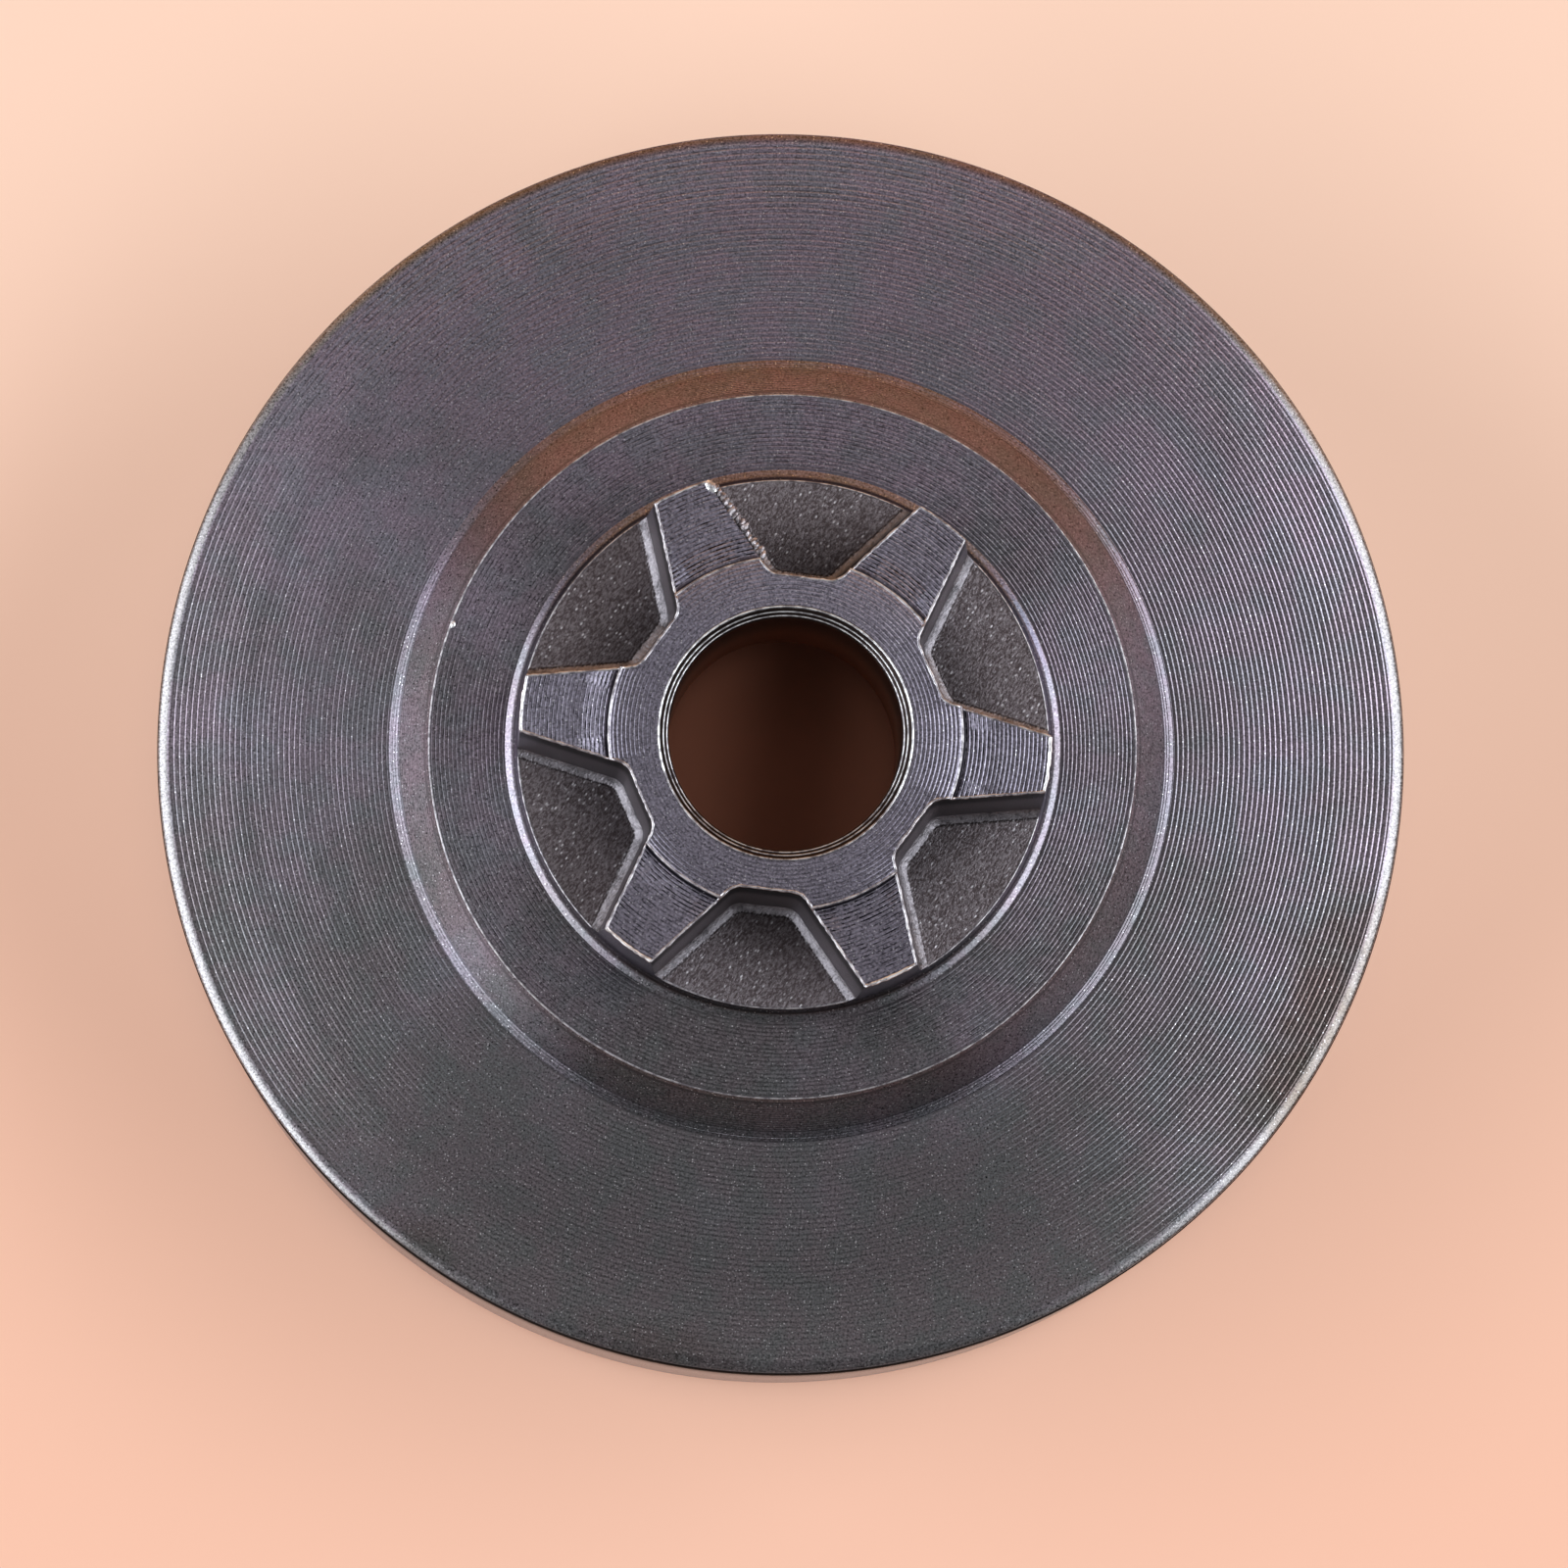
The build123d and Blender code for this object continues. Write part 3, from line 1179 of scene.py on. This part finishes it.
@dataclass(frozen=True)
class Bead:
    """The rolled-over metal along an edge. Lengths are in millimetres."""

    radius: float
    uneven: float    # share by which the radius comes and goes
    stray: float     # how far its middle wanders sideways
    overhang: float  # how far its middle lies outside the edge
    sink: float      # how far its middle lies below the edge
    step: float      # distance between its lumps
    state: EdgeState = EdgeState.ROLLED


@dataclass
class WornEdges:
    """The worn and burred edges of the teeth, the hub, the gullet mouths and the conical step."""

    body: DrumBody
    torn_gullet: int = 1     # the gullet on +Y: the tooth on its -X side has a torn flank
    crumb: Sizes = (0.21, 0.35, 0.19)     # half sizes: along the edge, across it, upright
    crumb_step: float = 0.31
    crumb_skew: Span = (0.1, 0.7)         # radians away from the edge
    crumb_share: Span = (0.75, 1.15)      # of those half sizes
    crumb_drop: Span = (0.18, 0.36)       # below the edge
    crumb_reach: Span = (0.20, 0.30)      # outside the edge
    tip_burr: Sizes = (0.42, 0.28, 0.16)  # half sizes of the burr at the flank's tip
    tip_burr_shift: Point = (0.35, 0.06)  # along the edge and outside it
    burr_angle: float = 166.5             # degrees about the spin axis, a burr in the step's edge
    burr_size: float = 0.145
    burr_shape: Sizes = (1.0, 1.5, 0.6)
    lumpy: Span = (0.82, 1.12)            # how far a lump's points lie from its middle
    seed: int = 7
    rubbed: Bead = Bead(radius=0.085, uneven=0.24, stray=0.02, overhang=-0.02, sink=0.05, step=0.19)
    crisp: Bead = Bead(radius=0.062, uneven=0.14, stray=0.0, overhang=-0.02, sink=0.03, step=0.22)
    land: Bead = replace(crisp, radius=0.085)
    land_place: Point = (0.11, -0.07)     # of that bead's edge, from the land's sharp corner
    tip: Bead = Bead(
        radius=0.11, uneven=0.26, stray=0.02, overhang=-0.05, sink=0.06, step=0.19, state=EdgeState.POLISHED)
    bright_tip_teeth: tuple[int, ...] = (0, 3, 4, 5)  # counted from the tooth on +X; their tips are rubbed bright by the chain, with a painted highlight on the teeth to the left, right and front
    bore_lips: tuple[Point, ...] = ((0.57, 0.078), (0.31, 0.05), (0.11, 0.05))  # distance outwards, radius
    lip_rise: float = 0.03                # above the bore's chamfer
    lip_highlight_end: float = 24.0               # degrees from +X and -X to where those lips turn dull, and their painted highlight ends
    mouth_half: float = 20.5              # degrees, half of a gullet's mouth along the boss's edge

    def __post_init__(self) -> None:
        """Start the row of chances that the lumps are drawn from."""
        self.chance = random.Random(self.seed)
        self.made: dict[EdgeState, list[bpy.types.Object]] = {state: [] for state in EdgeState}

    def half_outline(self) -> list[Vector]:
        """One flank and half the root of a gullet's upper edge, along +X, from tooth tip to root."""
        body = self.body
        root, tip = body.gullet_plan()
        lean = body.flank_lean
        flank = Vector((math.cos(lean), math.sin(lean)))

        def on_flank(radius: float, level: float) -> Vector:
            """The flank's point at a distance from the spin axis."""
            start = Vector(tip)
            along = start.dot(flank)
            back = along - math.sqrt(along * along - start.length_squared + radius * radius)
            return (start - flank * back).to_3d() + Vector((0, 0, level))

        tangent = body.root_corner * math.tan((math.pi / 2 - lean) / 2)
        centre = (root[0] + body.root_corner, root[1] - tangent)
        corner = arc(centre, body.root_corner, 90 + math.degrees(lean), 180, 5)
        return [
            on_flank(body.tip_radius, body.tooth_level),
            on_flank(body.land_radius + body.land_slope, body.tooth_level),
            on_flank(body.land_radius, body.hub_level),
            *[Vector((u, v, body.hub_level)) for u, v in corner],
            Vector((body.root_distance, 0, body.hub_level)),
        ]

    def resampled(self, path: list[Vector], step: float) -> list[Vector]:
        """The same path with points at an even distance.

        Args:
            path: Corner points.
            step: Distance between the new points.

        Returns:
            The new points, the corners among them.
        """
        points = [path[0]]
        for a, b in zip(path, path[1:]):
            count = max(1, round((b - a).length / step))
            points += [a.lerp(b, i / count) for i in range(1, count + 1)]
        return points

    def bead(self, size: Bead, path: list[Vector], outwards: list[Vector], closed: bool = False) -> None:
        """Lay a bead of rolled metal along an edge.

        Args:
            size: The bead's sizes.
            path: Points on the edge.
            outwards: For each point, the level direction away from the metal.
            closed: Whether the path ends where it began.
        """
        curve = bpy.data.curves.new("edge_bead", "CURVE")
        curve.dimensions = "3D"
        curve.bevel_depth = MM
        curve.bevel_resolution = 2
        curve.use_fill_caps = not closed
        spline = curve.splines.new("POLY")
        spline.points.add(len(path) - 1)
        spline.use_cyclic_u = closed
        for point, place, out in zip(spline.points, path, outwards):
            aside = size.overhang + self.chance.uniform(-size.stray, size.stray)
            centre = place + out * aside - Vector((0, 0, size.sink))
            point.co = (*(centre * MM), 1.0)
            point.radius = size.radius * (1 + size.uneven * self.chance.uniform(-1, 1))
        made = bpy.data.objects.new("edge_bead", curve)
        bpy.context.scene.collection.objects.link(made)
        pick(made)
        bpy.ops.object.convert(target="MESH")
        bpy.ops.object.shade_smooth()
        self.made[size.state].append(bpy.context.active_object)

    def ring(self, size: Bead, radius: float, level: float, start: float, end: float) -> None:
        """Lay a bead along a turned edge that faces outwards.

        Args:
            size: The bead's sizes.
            radius: The edge's distance from the spin axis.
            level: The edge's level.
            start: First angle in degrees.
            end: Last angle in degrees, a full turn away for a whole ring.
        """
        count = round(math.radians(end - start) * radius / size.step)
        closed = end - start >= 360
        flat = arc((0.0, 0.0), 1.0, start, end, count)[:count if closed else count + 1]
        outwards = [Vector((x, y, 0.0)) for x, y in flat]
        self.bead(size, [out * radius + Vector((0, 0, level)) for out in outwards], outwards, closed)

    def level_normals(self, path: list[Vector]) -> list[Vector]:
        """For each point of a path the level direction to its left."""
        normals = []
        for i, _ in enumerate(path):
            run = path[min(i + 1, len(path) - 1)] - path[max(i - 1, 0)]
            normals.append(Vector((-run.y, run.x, 0)).normalized())
        return normals

    def gullet_edge(self, index: int) -> None:
        """Lay the bead along one gullet's upper edge, and crumbs on its torn flank if it has one.

        Args:
            index: The gullet's number, counted from the tooth on +X.
        """
        turn = Matrix.Rotation(math.tau / self.body.tooth_count * (index + 0.5), 3, "Z")
        outline = self.half_outline()
        mirrored = [Vector((p.x, -p.y, p.z)) for p in self.resampled(outline, self.rubbed.step)]
        half = self.resampled(outline[1:] if index == self.torn_gullet else outline, self.rubbed.step)
        whole = [turn @ p for p in half + mirrored[-2::-1]]
        self.bead(self.rubbed, whole, self.level_normals(whole))
        if index == self.torn_gullet:
            self.torn_flank([turn @ p for p in self.resampled(self.half_outline()[:2], self.crumb_step)])

    def lump(self, state: EdgeState, place: Vector, half: Vector, along: Vector) -> None:
        """Add one uneven lump of metal.

        Args:
            state: How its metal looks.
            place: Its middle.
            half: Its half sizes, along a direction, across it and upright.
            along: That level direction.
        """
        bpy.ops.mesh.primitive_ico_sphere_add(subdivisions=2, radius=MM, location=place * MM)
        made = bpy.context.active_object
        for vertex in made.data.vertices:
            vertex.co *= self.chance.uniform(*self.lumpy)
        made.scale = half
        made.rotation_euler = (0.0, 0.0, math.atan2(along.y, along.x))
        bpy.ops.object.transform_apply(location=True, rotation=True, scale=True)
        self.made[state].append(made)

    def torn_flank(self, flank: list[Vector]) -> None:
        """Lay crumbs beside a tooth's edge and a burr at its tip.

        Args:
            flank: Points on the edge, from the tip inwards.
        """
        along = (flank[-1] - flank[0]).normalized()
        out = self.level_normals(flank)[0]
        for point in flank[2:]:  # the burr lies over the first two
            skew = Matrix.Rotation(self.chance.uniform(*self.crumb_skew), 3, "Z")
            half = Vector(self.crumb) * self.chance.uniform(*self.crumb_share)
            drop = Vector((0, 0, self.chance.uniform(*self.crumb_drop)))
            place = point + out * self.chance.uniform(*self.crumb_reach) - drop
            self.lump(EdgeState.TORN, place, half, skew @ along)
        tip = flank[0] + along * self.tip_burr_shift[0] + out * self.tip_burr_shift[1]
        self.lump(EdgeState.POLISHED, tip, Vector(self.tip_burr), along)

    def burr(self) -> None:
        """Raise the small burr in the step's edge."""
        angle = math.radians(self.burr_angle)
        out = Vector((math.cos(angle), math.sin(angle), 0.0))
        place = out * (self.body.step_edge - self.burr_size) + Vector((0, 0, self.body.step_level))
        half = Vector(self.burr_shape) * self.burr_size
        self.lump(EdgeState.POLISHED, place, half, out)

    def build(self, drum: bpy.types.Object) -> None:
        """Add the edges to the drum.

        Args:
            drum: The drum's mesh, which takes them in.
        """
        body = self.body
        pitch = 360 / body.tooth_count
        half_tip = math.degrees(math.asin(body.tip_width / 2 / body.tip_radius))
        corner = self.half_outline()[2]
        half_land = pitch / 2 - math.degrees(math.atan2(corner.y, corner.x))
        land = (body.land_radius + self.land_place[0], body.hub_level + self.land_place[1])
        mouth = (body.boss_radius, body.floor_level)
        for index in range(body.tooth_count):
            tooth, gullet = pitch * index, pitch * (index + 0.5)
            self.gullet_edge(index)
            tip = self.tip if index in self.bright_tip_teeth else self.rubbed
            self.ring(tip, body.tip_radius, body.tooth_level, tooth - half_tip, tooth + half_tip)
            self.ring(self.land, *land, tooth - half_land, tooth + half_land)
            self.ring(self.crisp, *mouth, gullet - self.mouth_half, gullet + self.mouth_half)
        self.ring(self.crisp, body.step_edge, body.step_level, 0, 360)
        for run, radius in self.bore_lips:
            place = (body.bore_radius + run, body.hub_level - body.bore_chamfer + run + self.lip_rise)
            lip = replace(self.crisp, radius=radius, overhang=0.0)
            # painted highlight: the lips are bright on the far half and dull on the near half
            self.ring(replace(lip, state=EdgeState.POLISHED), *place, -self.lip_highlight_end, 180 + self.lip_highlight_end)
            self.ring(lip, *place, 180 + self.lip_highlight_end, 360 - self.lip_highlight_end)
        self.burr()
        finishes = {
            EdgeState.ROLLED: BareSteel(), EdgeState.POLISHED: PolishedAndLitSteel(), EdgeState.TORN: TornSteel(),
        }
        for state, pieces in self.made.items():
            finish = finishes[state].build()
            for piece in pieces:
                piece.data.materials.clear()
                piece.data.materials.append(finish)
        pick(drum)
        for pieces in self.made.values():
            for piece in pieces:
                piece.select_set(True)
        bpy.ops.object.join()


@dataclass(frozen=True)
class Lamp:
    """A soft box aimed at the drum. Lengths are in metres, angles in degrees."""

    name: str
    azimuth: float    # about the spin axis, from +X
    elevation: float  # above the floor
    width: float
    height: float
    radiance: float
    distance: float = 1.0
    colour: tuple[float, float, float] = (0.93, 1.0, 1.05)

    def build(self, target: Vector) -> bpy.types.Object:
        """Hang the lamp.

        Args:
            target: The point that it faces.

        Returns:
            The lamp.
        """
        turn, rise = math.radians(self.azimuth), math.radians(self.elevation)
        away = Vector((math.cos(rise) * math.cos(turn), math.cos(rise) * math.sin(turn), math.sin(rise)))
        data = bpy.data.lights.new(self.name, "AREA")
        data.shape = "RECTANGLE"
        data.size = self.width
        data.size_y = self.height
        data.energy = self.radiance * math.pi * self.width * self.height
        data.color = self.colour
        lamp = bpy.data.objects.new(self.name, data)
        lamp.location = target + away * self.distance
        lamp.rotation_euler = away.to_track_quat("Z", "Y").to_euler()
        bpy.context.scene.collection.objects.link(lamp)
        return lamp


@dataclass(frozen=True)
class Studio:
    """A paper floor, a soft box on the left and on the right, and a dim room with a warm far side.

    The room is measured by the parts of a direction of length 1.
    """

    drum_radius: float       # millimetres
    floor_half: float = 1.3  # metres
    room: Colour = (0.98, 0.98, 0.99, 1.0)
    room_level: Run = (-0.35, 0.50, 0.27, 0.56)  # from the front to the back
    room_sides: Run = (0.10, 0.45, 1.0, 0.50)    # share of that light, from the middle to the left and right
    warm: Colour = (1.15, 0.58, 0.22, 1.0)
    warm_top: Span = (0.42, 0.66)
    warm_front: Span = (0.42, 0.78)
    lamps: tuple[Lamp, ...] = (
        Lamp("right_lamp", azimuth=4, elevation=40, width=1.20, height=0.54, radiance=5.4),
        Lamp("left_lamp", azimuth=194, elevation=31, width=1.22, height=0.58, radiance=5.4),
    )

    def floor(self) -> bpy.types.Object:
        """Lay the paper that the drum stands on.

        Returns:
            The paper.
        """
        bpy.ops.mesh.primitive_plane_add(size=2 * self.floor_half)
        paper = bpy.context.active_object
        paper.name = paper.data.name = "paper_floor"
        paper.data.materials.append(Paper(self.drum_radius).build())
        return paper

    def light_room(self) -> None:
        """Fill the room with plain light that grows to the back and turns warm low down there."""
        world = bpy.data.worlds.new("room")
        world.use_nodes = True
        g = Graph(world.node_tree, "Background")
        side, back, up = g.split(g.node("ShaderNodeTexCoord").outputs["Generated"])
        level = g.ramp(back, *self.room_level)
        dim = g.ramp(g.math("ABSOLUTE", side), *self.room_sides)
        plain = g.mix(g.math("MULTIPLY", level, dim), BLACK, self.room)
        low = g.math("MULTIPLY", g.ramp(up, *self.warm_top, 1.0, 0.0), g.ramp(back, *self.warm_front))
        g.feed(g.shader.inputs["Color"], g.mix(low, plain, self.warm))
        bpy.context.scene.world = world

    def build(self, target: Vector) -> None:
        """Set up the paper, the lamps and the room.

        Args:
            target: The point that the lamps face.
        """
        self.floor()
        for lamp in self.lamps:
            lamp.build(target)
        self.light_room()
        bpy.context.scene.view_settings.view_transform = "Standard"


@dataclass(frozen=True)
class PhotoCamera:
    """The photograph's viewpoint: almost straight down on the sprocket side."""

    tilt: float = 5.87           # degrees away from the spin axis, towards -Y
    side: float = 0.76           # degrees away from the spin axis, towards -X
    roll: float = 6.55           # degrees that the drum is turned clockwise in the picture
    focal_pixels: float = 9000.0
    distance: float = 498.0      # millimetres from the outer face
    aim_right: float = 0.122     # millimetres from the face's centre to the picture's centre
    aim_down: float = 1.97
    sensor: float = 36.0         # millimetres
    clip: Span = (0.01, 20.0)    # metres

    def build(self) -> bpy.types.Object:
        """Place the camera and make it the scene's own.

        Returns:
            The camera.
        """
        tilt, side, roll = (math.radians(a) for a in (self.tilt, self.side, self.roll))
        right = Vector((math.cos(roll), math.sin(roll), 0.0))
        up = Vector((-math.sin(roll), math.cos(roll), 0.0))
        face = Vector((0.0, 0.0, FACE_LEVEL))
        eye = face + Vector((-math.sin(side), -math.sin(tilt), math.cos(tilt))) * self.distance
        aim = face + right * self.aim_right - up * self.aim_down
        back = (eye - aim).normalized()
        across = up.cross(back).normalized()
        above = back.cross(across)
        data = bpy.data.cameras.new("photo_camera")
        data.sensor_width = self.sensor
        data.lens = self.sensor * self.focal_pixels / PHOTO_PIXELS
        data.clip_start, data.clip_end = self.clip
        camera = bpy.data.objects.new("photo_camera", data)
        turn = Matrix((across, above, back)).transposed().to_4x4()
        camera.matrix_world = Matrix.Translation(eye * MM) @ turn
        bpy.context.scene.collection.objects.link(camera)
        bpy.context.scene.camera = camera
        return camera


def mount_radius(record: dict, name: str) -> float:
    """Radius of a named round mount, in millimetres.

    Args:
        record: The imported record.
        name: The mount's name.

    Returns:
        Its wall radius.
    """
    return next(m["dims"]["r_mm"] for m in record["mounts"] if m["name"] == name)


def main() -> None:
    """Build the drum and its studio around the loaded frame."""
    logging.basicConfig(level=logging.INFO, format="%(name)s: %(message)s")
    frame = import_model()
    _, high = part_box(NODE)
    body = DrumBody(
        outer_radius=high.x / MM,
        hub_level=high.z / MM,
        bore_radius=mount_radius(frame["record"], "bore"),
        cup_radius=mount_radius(frame["record"], "shoe_track"),
    )
    drum = body.build()
    WornEdges(body).build(drum)
    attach(drum, BODY)
    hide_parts(NODE)
    log.info("%s: %d faces", drum.name, len(drum.data.polygons))
    centre = Vector((0.0, 0.0, FACE_LEVEL * MM))
    Studio(body.outer_radius).build(centre)
    PhotoCamera().build()


if __name__ == "__main__":
    main()
